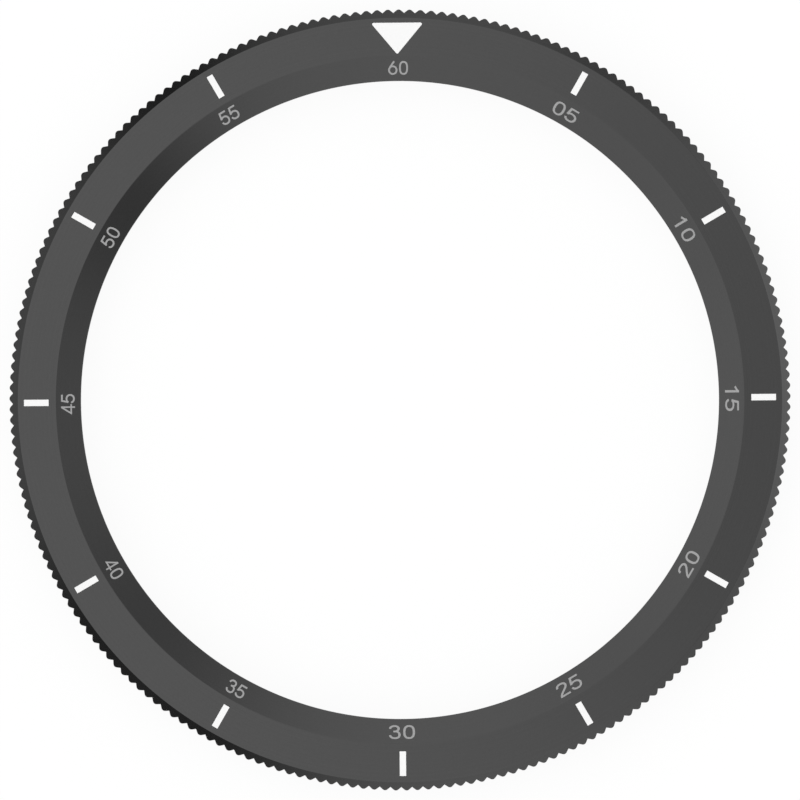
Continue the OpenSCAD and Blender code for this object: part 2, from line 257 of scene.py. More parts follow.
def together(shells):
    """The points and faces of several closed shells as one."""
    first = np.cumsum([0] + [len(points) for points, _ in shells])
    turned_out = [facing_out(*shell) for shell in shells]
    return (np.concatenate([points for points, _ in turned_out]),
            [f + n for n, (_, faces) in zip(first, turned_out) for f in faces])


def piece(name, points, faces):
    """A closed mesh in mm from points and arrays of faces, turned to face out, smooth but for sharp edges."""
    points, faces = facing_out(points, faces)
    mesh = bpy.data.meshes.new(name)
    mesh.from_pydata(points.tolist(), [], [row for f in faces for row in f.tolist()])
    mesh.shade_smooth()
    mesh.set_sharp_from_angle(angle=SHARP)
    obj = bpy.data.objects.new(name, mesh)
    bpy.context.scene.collection.objects.link(obj)
    return obj


def turned(name, section, columns):
    """A ring: the closed (radius, height) section carried once round the dial's axis."""
    angle = np.arange(columns) * 2 * math.pi / columns
    points = polar(section[:, None, 0], angle[None], section[:, None, 1]).reshape(-1, 3)
    return piece(name, points, [between(len(section), columns, True)])


def stacked(loops):
    """Points and faces of closed loops joined one to the next and the last to the first.

    Loops of one size are joined by quads. Where the size changes by a whole factor, each
    step of the coarse loop takes a fan of triangles to its share of the fine one."""
    first = np.cumsum([0] + [len(p) for p in loops])
    quads, tris = [], []
    for i, loop in enumerate(loops):
        j = (i + 1) % len(loops)
        n, m = len(loop), len(loops[j])
        a, b = first[i], first[j]
        if n == m:
            k = np.arange(n)
            k2 = (k + 1) % n
            quads.append(np.stack([a + k, a + k2, b + k2, b + k], axis=-1))
            continue
        fine, coarse, flip = (a, b, False) if n > m else (b, a, True)
        big, small = max(n, m), min(n, m)
        share = big // small
        k = np.arange(big)
        near = ((k + share // 2) // share) % small
        made = [np.stack([fine + k, fine + (k + 1) % big, coarse + near], axis=-1)]
        k = np.arange(small)
        turn = (k * share + share - share // 2) % big
        made.append(np.stack([fine + turn, coarse + (k + 1) % small, coarse + k], axis=-1))
        tris += [t[:, ::-1] if flip else t for t in made]
    faces = [np.concatenate(quads)] + ([np.concatenate(tris)] if tris else [])
    return np.concatenate(loops), faces


def prism(outline, low, high):
    """A shell: a flat outline carried straight up between two heights, closed at both ends."""
    n = len(outline)
    middle = outline.mean(axis=0)
    ring = [np.column_stack([outline, np.full(n, z)]) for z in (low, high)]
    tips = np.array([[*middle, low], [*middle, high]])
    loop = np.arange(n)
    faces = [between(2, n, False), np.concatenate([fan(loop, 2 * n, True), fan(loop + n, 2 * n + 1)])]
    return np.concatenate(ring + [tips]), faces


def spun(outline, angle):
    """Flat points turned clockwise about the dial's axis."""
    c, s = math.cos(angle), math.sin(angle)
    return np.column_stack([outline[:, 0] * c + outline[:, 1] * s, outline[:, 1] * c - outline[:, 0] * s])


def track_place(angle):
    """The point of the click track at a clockwise angle in degrees."""
    return spun(np.array([[0.0, TRACK_R]]), math.radians(angle))[0]


def disc_at(angle, r, count=64):
    """Outline of a disc of radius r on the click track."""
    a = np.arange(count) * 2 * math.pi / count
    return track_place(angle) + r * np.column_stack([np.sin(a), np.cos(a)])


def keep_modified(obj):
    """Makes what the modifiers give the object's own mesh."""
    bpy.context.view_layer.update()
    mesh = bpy.data.meshes.new_from_object(obj.evaluated_get(bpy.context.evaluated_depsgraph_get()))
    obj.modifiers.clear()
    obj.data = mesh
    mesh.name = obj.name


def settled(obj, others=(), operation="DIFFERENCE"):
    """Cuts other meshes out of a piece or joins them to it, marks sharp edges and evens the normals."""
    for other in others:
        cut = obj.modifiers.new(other.name, "BOOLEAN")
        cut.operation = operation
        cut.solver = "MANIFOLD"
        cut.object = other
    keep_modified(obj)
    for other in others:
        bpy.data.objects.remove(other)
    obj.data.shade_smooth()
    obj.data.set_sharp_from_angle(angle=SHARP)
    even = obj.modifiers.new("even normals", "WEIGHTED_NORMAL")
    even.weight = 80
    even.keep_sharp = True
    keep_modified(obj)
    return obj


def finish_piece(obj, body, slot, material, *replaced):
    """Takes a piece to metres, gives it material and sets it on its body in place of CAD nodes. Slot is not
    used.
    """
    obj.data.transform(Matrix.Scale(MM, 4))
    obj.data.materials.clear()
    obj.data.materials.append(material)
    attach(obj, body)
    if replaced:
        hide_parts(*replaced)
    return obj


# Finishes

def group(name, inputs, outputs):
    """An empty node group with float sockets, its maker's handles and a point for Object coordinates."""
    tree = bpy.data.node_groups.new(name, "ShaderNodeTree")
    for label, value in inputs:
        tree.interface.new_socket(label, in_out="INPUT", socket_type="NodeSocketFloat").default_value = value
    for label in outputs:
        tree.interface.new_socket(label, in_out="OUTPUT", socket_type="NodeSocketFloat")
    entry = tree.nodes.new("NodeGroupInput")
    leave = tree.nodes.new("NodeGroupOutput")
    place = tree.nodes.new("ShaderNodeTexCoord").outputs["Object"]
    return tree, entry, leave, place


def math_node(tree, operation, a, b=None, c=None, clamp=False):
    """One Math node; numbers are set on its sockets and sockets are linked to them."""
    node = tree.nodes.new("ShaderNodeMath")
    node.operation = operation
    node.use_clamp = clamp
    for socket, value in zip(node.inputs, (a, b, c)):
        if value is None:
            continue
        if isinstance(value, (int, float)):
            socket.default_value = value
        else:
            tree.links.new(value, socket)
    return node.outputs[0]


def noise(tree, place, scale, detail=2.0, roughness=0.5, dimensions="3D", w=None):
    """A noise texture's value, from 0 to 1."""
    node = tree.nodes.new("ShaderNodeTexNoise")
    node.noise_dimensions = dimensions
    if place is not None:
        tree.links.new(place, node.inputs["Vector"])
    if w is not None:
        tree.links.new(w, node.inputs["W"])
    for label, value in (("Scale", scale), ("Detail", detail), ("Roughness", roughness)):
        if isinstance(value, (int, float)):
            node.inputs[label].default_value = value
        else:
            tree.links.new(value, node.inputs[label])
    return node.outputs["Fac"]


def radius_and_height(tree, place):
    """Distance from the dial's axis, and height, in metres."""
    split = tree.nodes.new("ShaderNodeSeparateXYZ")
    tree.links.new(place, split.inputs[0])
    return length_of(tree, split.outputs["X"], split.outputs["Y"]), split.outputs["Z"]


def length_of(tree, a, b):
    """The root of a squared plus b squared."""
    return math_node(tree, "SQRT", math_node(tree, "ADD", math_node(tree, "MULTIPLY", a, a),
                                             math_node(tree, "MULTIPLY", b, b)))


def grain_group():
    """Fine blasted grain and slow broad patches, both noise from 0 to 1 about a half."""
    tree, entry, leave, place = group("fine grain", [("Scale", 9000.0)], ["Grain", "Patch"])
    patch_scale = 160.0
    tree.links.new(noise(tree, place, entry.outputs["Scale"], 3.0, 0.6), leave.inputs["Grain"])
    tree.links.new(noise(tree, place, patch_scale, 3.0, 0.55), leave.inputs["Patch"])
    return tree


def turning_group():
    """Fine rings left by turning: noise of the distance from the axis, which drifts slowly round it."""
    tree, entry, leave, place = group("turning marks", [("Rings", 22000.0)], ["Height"])
    drift_scale, drift_reach = 90.0, 0.0002
    radius, _ = radius_and_height(tree, place)
    drift = math_node(tree, "MULTIPLY", noise(tree, place, drift_scale, 2.0), drift_reach)
    along = math_node(tree, "MULTIPLY", math_node(tree, "ADD", radius, drift), entry.outputs["Rings"])
    tree.links.new(noise(tree, None, 1.0, 2.0, 0.5, "1D", along), leave.inputs["Height"])
    return tree


def wear_group():
    """Rubbed edge: 1 on a ring edge of a radius and height, falling to 0 at the width, broken up by noise."""
    tree, entry, leave, place = group(
        "rubbed edge", [("Radius", 0.0198), ("Height", 0.003), ("Width", 0.00006)], ["Mask"])
    radius, height = radius_and_height(tree, place)
    away = length_of(tree, math_node(tree, "SUBTRACT", radius, entry.outputs["Radius"]),
                     math_node(tree, "SUBTRACT", height, entry.outputs["Height"]))
    share = math_node(tree, "DIVIDE", away, entry.outputs["Width"])
    near = math_node(tree, "SUBTRACT", 1.0, share, clamp=True)
    break_scale, contrast, offset = 700.0, 2.4, -0.75
    breaks = noise(tree, place, break_scale, 4.0, 0.65)
    broken = math_node(tree, "MULTIPLY_ADD", breaks, contrast, offset, clamp=True)
    tree.links.new(math_node(tree, "MULTIPLY", near, broken), leave.inputs["Mask"])
    return tree


GRAIN, TURNING, WEAR = grain_group(), turning_group(), wear_group()


def placed(tree, source, **values):
    """A node group in a material, with its own values."""
    node = tree.nodes.new("ShaderNodeGroup")
    node.node_tree = source
    for label, value in values.items():
        node.inputs[label].default_value = value
    return node


def finish(name, colour, rough, metallic=0.0, coat=0.0, grain=9000.0, grain_bump=0.0, rings=0.0,
           ring_bump=0.0, rubbed=(), rub_width=0.00006, rub_light=0.0, patch=0.04, speck=0.06,
           streak=0.0, rough_swing=0.06):
    """A Principled material whose colour, roughness and height carry grain, patches, turning marks and wear.

    Patch, speck and streak are the shares by which the patches, the grain and the turning marks
    change the colour. Rubbed holds the (radius, height) of ring edges in mm."""
    material = bpy.data.materials.new(name)
    material.use_nodes = True
    tree = material.node_tree
    shader = tree.nodes["Principled BSDF"]
    shader.inputs["Metallic"].default_value = metallic
    shader.inputs["Coat Weight"].default_value = coat
    shader.inputs["Coat Roughness"].default_value = 0.12
    texture = placed(tree, GRAIN, Scale=grain)
    level = math_node(
        tree, "MULTIPLY", math_node(tree, "MULTIPLY_ADD", texture.outputs["Patch"], 2 * patch, 1 - patch),
        math_node(tree, "MULTIPLY_ADD", texture.outputs["Grain"], 2 * speck, 1 - speck))
    height = math_node(tree, "MULTIPLY", texture.outputs["Grain"], grain_bump)
    if rings:
        marks = placed(tree, TURNING, Rings=rings).outputs["Height"]
        height = math_node(tree, "MULTIPLY_ADD", marks, ring_bump, height)
        marked = math_node(tree, "MULTIPLY_ADD", marks, 2 * streak, 1 - streak)
        level = math_node(tree, "MULTIPLY", level, marked)
    for radius, edge_z in rubbed:
        wear = placed(tree, WEAR, Radius=radius * MM, Height=edge_z * MM, Width=rub_width)
        level = math_node(tree, "MULTIPLY_ADD", wear.outputs["Mask"], rub_light, level)
    tint = tree.nodes.new("ShaderNodeMix")
    tint.data_type = "RGBA"
    tint.blend_type = "MULTIPLY"
    tint.inputs["Factor"].default_value = 1.0
    tint.inputs["A"].default_value = (*colour, 1.0)
    tree.links.new(level, tint.inputs["B"])
    tree.links.new(tint.outputs["Result"], shader.inputs["Base Color"])
    swung = math_node(tree, "MULTIPLY_ADD", texture.outputs["Grain"], rough_swing, rough - rough_swing / 2)
    tree.links.new(swung, shader.inputs["Roughness"])
    bump = tree.nodes.new("ShaderNodeBump")
    bump.inputs["Strength"].default_value = 1.0
    bump.inputs["Distance"].default_value = 1.0
    tree.links.new(height, bump.inputs["Height"])
    tree.links.new(bump.outputs["Normal"], shader.inputs["Normal"])
    return material


STEEL = finish(
    "dark satin steel", (0.071, 0.071, 0.071), 0.2, metallic=1.0, grain=14000.0, grain_bump=6e-7,
    rings=16000.0, ring_bump=5e-7, rubbed=((RIDGE_R, RIDGE_Z), (FACE_R, FACE_EDGE_Z)), rub_light=0.05,
    patch=0.012, speck=0.13, streak=0.09)
ENAMEL = finish(
    "white enamel", (0.95, 0.95, 0.948), 0.4, coat=0.1, grain=7000.0, grain_bump=1e-7, patch=0.008,
    speck=0.006)
SCALE_PAINT = finish(
    "grey scale paint", (0.36, 0.36, 0.36), 0.55, grain=16000.0, grain_bump=6e-7, patch=0.03)
ANODISED = finish(
    "black anodised aluminium", (0.035, 0.035, 0.037), 0.42, metallic=0.6, grain=12000.0, grain_bump=8e-7,
    rings=14000.0, ring_bump=1e-6, rub_light=0.6,
    rubbed=((SEAT_BORE_R, 0.0), (SEAT_BORE_R, SEAT_H), (FLANGE_R, 0.0), (FLANGE_R, FLANGE_T)))
RUBBER = finish(
    "matt black rubber", (0.015, 0.015, 0.016), 0.75, grain=5000.0, grain_bump=2e-6, patch=0.12)
PLASTIC = finish(
    "waxy black plastic", (0.03, 0.03, 0.032), 0.45, grain=4000.0, grain_bump=6e-7, patch=0.03)
GROUND_STEEL = finish(
    "ground steel", (0.5, 0.5, 0.51), 0.3, metallic=1.0, grain=9000.0, grain_bump=4e-7, rings=20000.0,
    ring_bump=6e-7)
SPRING_WIRE = finish(
    "drawn spring wire", (0.42, 0.43, 0.45), 0.33, metallic=1.0, grain=11000.0, grain_bump=6e-7, patch=0.06)
NICKEL = finish(
    "nickel plate", (0.6, 0.58, 0.54), 0.18, metallic=1.0, grain=6000.0, grain_bump=1.5e-7)
BRASS = finish(
    "turned brass", (0.6, 0.45, 0.18), 0.28, metallic=1.0, grain=8000.0, grain_bump=3e-7, patch=0.05)
BALL_STEEL = finish(
    "polished ball steel", (0.62, 0.62, 0.63), 0.08, metallic=1.0, grain=3000.0, grain_bump=2e-8, patch=0.01,
    rough_swing=0.03)


# Bezel ring

def tooth_outline():
    """Radius and angle of the coin edge: in each pitch one valley point, then five points round the crest.

    A crest point is the crest's centre plus its radius turned by -40, -20, 0, 20 and 40 degrees."""
    middle = math.radians(TOOTH_TURN) + np.arange(TOOTH_COUNT) * TOOTH_PITCH
    swing = np.linspace(-FLANK, FLANK, 5)[None] + middle[:, None]
    x = CREST_CENTRE_R * np.sin(middle)[:, None] + CREST_R * np.sin(swing)
    y = CREST_CENTRE_R * np.cos(middle)[:, None] + CREST_R * np.cos(swing)
    valley = middle - TOOTH_PITCH / 2
    x = np.column_stack([ROOT_R * np.sin(valley), x]).ravel()
    y = np.column_stack([ROOT_R * np.cos(valley), y]).ravel()
    return np.hypot(x, y), np.arctan2(x, y)


def rim_height(r):
    """Height of the rim chamfer: the face's edge less the way out times the slope's tangent."""
    return FACE_EDGE_Z - (r - FACE_R) * math.tan(RIM_SLOPE)


def face_height(r):
    """Height of the main face: the ridge less the way out times the slope's tangent."""
    return RIDGE_Z - (r - RIDGE_R) * math.tan(FACE_SLOPE)


def bezel_height(r):
    """Height of the number bevel: the lip plus the way out times the slope's tangent."""
    return LIP_Z + (r - OPENING_R) * math.tan(BEVEL_SLOPE)


def bend(a, corner, b, steps):
    """Rows of a rounded edge: (1-s)^2 A + 2s(1-s) corner + s^2 B for (radius, height) pairs of arrays."""
    a, corner, b = np.array(a), np.array(corner), np.array(b)
    return [(1 - s) ** 2 * a + 2 * s * (1 - s) * corner + s ** 2 * b for s in np.linspace(0, 1, steps + 1)]


def bezel_mesh():
    """The coin-edge ring as one closed stack of loops.

    Fine loops of six points a tooth go over the rim chamfer's outer part, the flanks and the
    lower chamfer. Every third of their angles makes the coarse loops of the rest, whose
    (radius, height) section is rounded at its corners. Its first and last corner join the
    fine loops and stay sharp."""
    radius, angle = tooth_outline()
    top = rim_height(radius)
    foot = SKIRT_Z + radius - (TIP_R - SKIRT_CHAMFER)
    flat = np.ones_like(radius)
    rows = [((FACE_R + FINE_FROM) * flat, rim_height(FACE_R + FINE_FROM) * flat)]
    inner = radius - TOOTH_EDGE
    rows += bend((inner, rim_height(inner)), (radius, top), (radius, top - TOOTH_EDGE), 2)
    rows += bend((radius, foot + TOOTH_EDGE), (radius, foot), (inner, foot - TOOTH_EDGE), 1)
    step_in = 0.01
    rows += [((TIP_R - SKIRT_CHAMFER + step_in) * flat, (SKIRT_Z + step_in) * flat)]
    fine = [polar(r, angle, z) for r, z in rows]
    groove_r = SNAP_OUT_R + PLAY
    # Radius, height and rounding of each corner
    corners = [
        (TIP_R - SKIRT_CHAMFER, SKIRT_Z, 0.0),
        (SKIRT_BORE_R + LEAD_IN, SKIRT_Z, 0.02),
        (SKIRT_BORE_R, SKIRT_Z + LEAD_IN, 0.02),
        (SKIRT_BORE_R, SNAP_Z - PLAY, 0.02),
        (groove_r, SNAP_Z - PLAY, 0.02),
        (groove_r, SNAP_TOP_Z + PLAY, 0.02),
        (SKIRT_BORE_R, SNAP_TOP_Z + PLAY, 0.02),
        (SKIRT_BORE_R, PLATE_Z, 0.03),
        (LAND_R, PLATE_Z, 0.03),
        (LAND_R, LAND_Z, 0.03),
        (OPENING_R, LAND_Z, 0.04),
        (OPENING_R, LIP_Z, 0.04),
        (RIDGE_R, RIDGE_Z, 0.06),
        (FACE_R, FACE_EDGE_Z, 0.05),
        (FACE_R + COARSE_TO, rim_height(FACE_R + COARSE_TO), 0.0),
    ]
    corners = np.array(corners)
    steps, hardly = 3, 1e-6
    section = rounded(corners[:, :2], corners[:, 2] + hardly, steps)
    section = np.concatenate([section[:1], section[steps + 1:-steps - 1], section[-1:]])
    coarse = [polar(r, angle[::3], z) for r, z in section]
    return stacked(fine + coarse)


def bar_outline(grow=0.0):
    """A five-minute bar: a rectangle with small round corners, its sides moved out by grow."""
    w, low, high = BAR_W / 2 + grow, BAR_OUTER_R - BAR_L - grow, BAR_OUTER_R + grow
    return rounded([(w, low), (w, high), (-w, high), (-w, low)], BAR_CORNER_R + grow, steps=4)


def triangle_outline(grow=0.0):
    """The 60 mark: base outwards, point inwards, all its sides moved out by grow."""
    slope = math.atan2(2 * TRIANGLE_H, TRIANGLE_W)
    tall = TRIANGLE_H + grow + grow / math.cos(slope)
    wide = 2 * tall / math.tan(slope)
    base = TRIANGLE_OUTER_R + grow
    return rounded([(0, base - tall), (wide / 2, base), (-wide / 2, base)], TRIANGLE_CORNER_R + grow, steps=6)


def inlay(name, outline, angle):
    """A white fill flush with the main face: rows up its side, over a small round and in to its middle."""
    outline = even_outline(outline, step=0.1)
    ahead = np.roll(outline, -1, axis=0) - np.roll(outline, 1, axis=0)
    out = np.column_stack([ahead[:, 1], -ahead[:, 0]]) / np.linalg.norm(ahead, axis=1)[:, None]
    middle = outline.mean(axis=0)
    # Size of the edge's round, and how far in and down the middle of the round lies
    edge, round_in, round_down = 0.012, 0.004, 0.0035
    flat_top = outline - edge * out
    # Rows with their drop below the face, where None stands for the pocket's floor
    rows = [(outline, None), (outline, edge), (outline - round_in * out, round_down), (flat_top, 0.0)]
    rows += [(middle + (flat_top - middle) * share, 0.0) for share in (0.66, 0.33)]
    points = []
    for flat, drop in rows + [(middle[None], 0.0), (middle[None], None)]:
        z = np.full(len(flat), POCKET_Z) if drop is None else face_height(np.hypot(*flat.T)) - drop
        points.append(np.column_stack([spun(flat, angle), z]))
    n = len(outline)
    loop = np.arange(n)
    last = n * len(rows)
    faces = [between(len(rows), n, False),
             np.concatenate([fan(loop + last - n, last), fan(loop, last + 1, True)])]
    return piece(name, np.concatenate(points), faces)


marks = {"marker_60": (triangle_outline, 0.0)}
marks.update({f"marker_{5 * k:02d}": (bar_outline, math.radians(30 * k)) for k in range(1, 12)})

bezel = piece("coin_edge_bezel", *bezel_mesh())
pockets = [prism(spun(shape(INLAY_GAP), angle), POCKET_Z, RIDGE_Z + OVER) for shape, angle in marks.values()]
pockets += [prism(disc_at(15 + 30 * k, MAGNET_POCKET_R, count=48), PLATE_Z - OVER, PLATE_Z + MAGNET_POCKET_T)
            for k in range(12)]
bezel = settled(bezel, [piece("pockets", *together(pockets))])
finish_piece(bezel, "bezel", "bezel_steel", STEEL, "bezel_ring")
for name, (shape, angle) in marks.items():
    mark = settled(inlay(name.replace("marker", "enamel"), shape(), angle))
    finish_piece(mark, "bezel", "marker_white", ENAMEL, name)


# Numbers

# Strokes of the digits, DIGIT_H units tall from the foot line, about a middle at 0. A "line" has
# corners at its points, a "curve" runs smoothly through them, and an "oval" is the middle,
# the half width and height and the power n of |x / w|^n + |y / h|^n = 1.
DIGIT_H = 14
# Width of the pen, and of the thinner pen of some digits
PEN = 1.77
THIN_PEN = {"4": 1.52}
GLYPHS = {
    "0": [("oval", (0, 7), (3.6, 5.95), 2.5)],
    "1": [("line", [(0.42, 0), (0.42, 13.95)]),
          ("line", [(-3.3, 9.9), (-1.0, 11.6), (0.52, 13.2)])],
    "2": [("curve", [(-3.6, 9.9), (-3.0, 11.7), (-1.5, 12.75), (0.2, 12.95), (2.2, 12.4), (3.4, 10.9),
                     (3.35, 9.4), (2.5, 7.9), (0.9, 6.3), (-1.1, 4.5), (-2.7, 2.7), (-3.4, 1.2)]),
          ("line", [(-4.2, 1.0), (4.2, 1.0)])],
    "3": [("curve", [(-3.5, 10.3), (-2.8, 12.0), (-1.5, 12.8), (0.1, 13.0), (1.8, 12.5), (2.85, 11.2),
                     (2.85, 9.7), (2.0, 8.3), (0.6, 7.7), (-1.0, 7.6)]),
          ("curve", [(-0.4, 7.6), (1.2, 7.6), (2.8, 6.7), (3.55, 5.0), (3.4, 3.0), (2.3, 1.5), (0.2, 0.98),
                     (-1.8, 1.4), (-3.0, 2.5), (-3.6, 4.0)])],
    "4": [("line", [(2.2, 0), (2.2, 13.9)]),
          ("line", [(2.06, 13.45), (-4.05, 3.8), (5.15, 3.8)])],
    "5": [("line", [(3.92, 12.9), (-2.35, 12.9), (-3.62, 6.4)]),
          ("curve", [(-3.48, 7.0), (-2.4, 7.9), (-0.56, 8.35), (1.68, 7.9), (3.21, 6.4), (3.52, 4.5),
                     (3.0, 2.6), (1.58, 1.35), (-0.36, 1.03), (-2.3, 1.45), (-3.52, 2.6), (-4.03, 3.8)])],
    "6": [("oval", (0.08, 4.83), (3.78, 3.78), 2.05),
          ("curve", [(1.5, 13.6), (-0.2, 11.3), (-1.9, 8.9), (-3.2, 6.6), (-3.7, 4.9)])],
}
# Size of a unit in mm, units from digit to digit, and stretch of the wide numbers
UNIT = 0.0574
ADVANCE = 10.85
WIDE = 1.33
# Radius of the numbers' middles, and the paint's height over the bevel and depth in it
NUMBER_R = 19.126
PAINT_T = 0.012
PAINT_DEPTH = 0.03
# Minutes: stretch of the digits, lean from the mark in degrees, tops towards the middle
NUMBERS = {
    60: (1.0, 0.13, False), 5: (WIDE, 0.35, False), 10: (WIDE, -0.60, False), 15: (WIDE, 0.10, False),
    20: (WIDE, 0.0, True), 25: (WIDE, -0.15, True), 30: (WIDE, 0.13, True), 35: (1.0, 0.0, True),
    40: (1.0, -0.10, True), 45: (1.0, -0.22, False), 50: (1.0, -0.19, False), 55: (1.0, -0.50, False),
}


def straight_path(points):
    """The points themselves, joined by straight lines."""
    return np.asarray(points, float)


def smooth_path(points, steps=6):
    """The natural cubic spline through the points, with the length along the chords as its parameter t.

    The bends M solve h0 M0 + 2 (h0 + h1) M1 + h1 M2 = 6 (slope1 - slope0) with M = 0 at both ends."""
    points = np.asarray(points, float)
    h = np.linalg.norm(np.diff(points, axis=0), axis=1)
    slope = np.diff(points, axis=0) / h[:, None]
    n = len(points)
    system = np.eye(n)
    inner = np.arange(1, n - 1)
    system[inner, inner - 1] = h[:-1]
    system[inner, inner] = 2 * (h[:-1] + h[1:])
    system[inner, inner + 1] = h[1:]
    right = np.zeros((n, 2))
    right[inner] = 6 * np.diff(slope, axis=0)
    bend_at = np.linalg.solve(system, right)
    h, u = h[:, None, None], np.arange(steps)[None, :, None] / steps
    m0, m1, p0, p1 = bend_at[:-1, None], bend_at[1:, None], points[:-1, None], points[1:, None]
    path = (1 - u) * p0 + u * p1 + h ** 2 / 6 * (((1 - u) ** 3 - (1 - u)) * m0 + (u ** 3 - u) * m1)
    return np.concatenate([path.reshape(-1, 2), points[-1:]])


def oval_path(middle, half, power, steps=80):
    """|x / w|^n + |y / h|^n = 1 round a middle: w cos a and h sin a, cosine and sine to the power 2 / n."""
    a = np.arange(steps) * 2 * math.pi / steps
    ring = np.column_stack([np.cos(a), np.sin(a)])
    return middle + np.array(half) * np.sign(ring) * np.abs(ring) ** (2 / power)


def stroke(pen, kind, *shape):
    """Shell of a ribbon of the pen's width along a path, a thin closed slab in glyph units.

    Each side is the path moved by half the pen along the mean of its two neighbouring normals,
    lengthened by 1 over the cosine of half the bend."""
    closed = kind == "oval"
    path = {"line": straight_path, "curve": smooth_path, "oval": oval_path}[kind](*shape)
    after = np.roll(path, -1, axis=0) - path
    before = path - np.roll(path, 1, axis=0)
    if not closed:
        after[-1], before[0] = before[-1], after[0]
    after, before = (v / np.linalg.norm(v, axis=1)[:, None] for v in (after, before))
    mean = after + before
    mean /= np.linalg.norm(mean, axis=1)[:, None]
    side = np.column_stack([mean[:, 1], -mean[:, 0]]) * pen / 2 / (mean * after).sum(axis=1)[:, None]
    n = len(path)
    low, high = -PAINT_DEPTH / UNIT, PAINT_T / UNIT
    rows = [(path - side, low), (path + side, low), (path + side, high), (path - side, high)]
    points = np.stack([np.column_stack([flat, np.full(n, z)]) for flat, z in rows], axis=1)
    faces = [between(n, 4, closed)]
    if not closed:
        faces.append(np.array([[3, 2, 1, 0], [4 * n - 4, 4 * n - 3, 4 * n - 2, 4 * n - 1]]))
    return points.reshape(-1, 3), faces


def digit(name, figure):
    """The strokes of one figure joined into one solid."""
    strokes = [piece(f"{name} {k}", *stroke(THIN_PEN.get(figure, PEN), *shape))
               for k, shape in enumerate(GLYPHS[figure])]
    return settled(strokes[0], strokes[1:], "UNION")


def number(minute, stretch, lean, inwards):
    """Two digits side by side, laid from the flat onto the number bevel and lifted by the bevel's height."""
    name = f"number_{minute:02d}"
    shells = []
    for k, figure in enumerate(f"{minute:02d}"):
        made = digit(f"{name} {k}", figure)
        made.data.calc_loop_triangles()
        tris = np.zeros(len(made.data.loop_triangles) * 3, np.int32)
        made.data.loop_triangles.foreach_get("vertices", tris)
        shells.append((corners_of(made.data) + ((k - 0.5) * ADVANCE, 0, 0), [tris.reshape(-1, 3)]))
        bpy.data.objects.remove(made)
    co, faces = together(shells)
    co = co * UNIT
    way = -1 if inwards else 1
    flat = np.column_stack([way * stretch * co[:, 0], NUMBER_R + way * (co[:, 1] - DIGIT_H / 2 * UNIT)])
    radius = np.hypot(*flat.T)
    flat = spun(flat, math.radians(6 * minute + lean))
    return piece(name, np.column_stack([flat, bezel_height(radius) + co[:, 2]]), faces)


for minute, (stretch, lean, inwards) in NUMBERS.items():
    finish_piece(number(minute, stretch, lean, inwards), "bezel", "scale_grey", SCALE_PAINT)


# Seat ring, seals and works

def threaded_hole(x, y):
    """Shell of a tapped hole: a cylinder with a helical swelling up to its last turn.

    Its radius is r + d (1 - 2 |frac(z / pitch - turn) - 1/2|). The first rows widen to the mouth."""
    pitch, depth, columns, rows = 0.4, 0.13, 48, 30
    mouth, mouth_z, plain_end, fading, drill_tip = 0.18, 0.12, 0.15, 0.1, 0.12
    z = np.concatenate([[-OVER, 0.0], np.linspace(mouth_z, HOLE_DEPTH, rows - 2)])
    turn = np.arange(columns) / columns
    wave = np.abs(np.mod(z[:, None] / pitch - turn[None], 1) - 0.5) * 2
    fade = np.clip((HOLE_DEPTH - plain_end - z) / fading, 0, 1)[:, None]
    r = HOLE_R + depth * (1 - wave) * fade
    r[:2] = HOLE_R + mouth
    a = turn[None] * 2 * math.pi
    points = np.stack(np.broadcast_arrays(x + r * np.sin(a), y + r * np.cos(a), z[:, None]), axis=-1)
    tips = np.array([[x, y, z[0]], [x, y, z[-1] + drill_tip]])
    loop = np.arange(columns)
    faces = [between(rows, columns, False),
             np.concatenate([fan(loop, rows * columns, True),
                             fan(loop + (rows - 1) * columns, rows * columns + 1)])]
    return np.concatenate([points.reshape(-1, 3), tips]), faces


def block_section(inner_r, outer_r, low, high, radius, steps):
    """Section of a ring between two radii and two heights, with rounded corners."""
    return rounded([(inner_r, low), (outer_r, low), (outer_r, high), (inner_r, high)], radius, steps)


seal_low, seal_high = SEAL_Z - SEAL_D / 2 - PLAY, SEAL_Z + SEAL_D / 2 + PLAY
seat_corners = [
    (SEAT_BORE_R, 0), (SEAT_BORE_R, SEAT_H), (GLIDE_IN_R - PLAY, SEAT_H), (GLIDE_IN_R - PLAY, GLIDE_Z),
    (GLIDE_OUT_R + PLAY, GLIDE_Z), (GLIDE_OUT_R + PLAY, SEAT_H), (JOURNAL_R - LEAD_IN, SEAT_H),
    (JOURNAL_R, SEAT_H - LEAD_IN), (JOURNAL_R, SNAP_TOP_Z + PLAY), (SNAP_FLOOR_R, SNAP_TOP_Z + PLAY),
    (SNAP_FLOOR_R, SNAP_Z - PLAY), (JOURNAL_R, SNAP_Z - PLAY), (JOURNAL_R, seal_high),
    (SEAL_FLOOR_R, seal_high), (SEAL_FLOOR_R, seal_low), (JOURNAL_R, seal_low), (JOURNAL_R, FLANGE_T),
    (FLANGE_R, FLANGE_T), (FLANGE_R, 0), (GASKET_OUT_R + PLAY, 0), (GASKET_OUT_R + PLAY, GASKET_T),
    (GASKET_IN_R - PLAY, GASKET_T), (GASKET_IN_R - PLAY, 0),
]
seat = turned("seat_ring_turned", rounded(seat_corners, radius=0.03), columns=720)
holes = [prism(disc_at(angle, SLEEVE_R + SLACK), SLEEVE_Z, SEAT_H + OVER) for angle in PLUNGERS.values()]
holes += [threaded_hole(*track_place(45 + 90 * k)) for k in range(4)]
seat = settled(seat, [piece("seat holes", *together(holes))])
finish_piece(seat, "seat", "seat_aluminium", ANODISED, "seat_ring")

gasket_section = block_section(GASKET_IN_R, GASKET_OUT_R, 0, GASKET_T, radius=0.05, steps=3)
gasket = settled(turned("case_gasket", gasket_section, columns=360))
finish_piece(gasket, "seat", "seal_rubber", RUBBER, "seat_gasket")

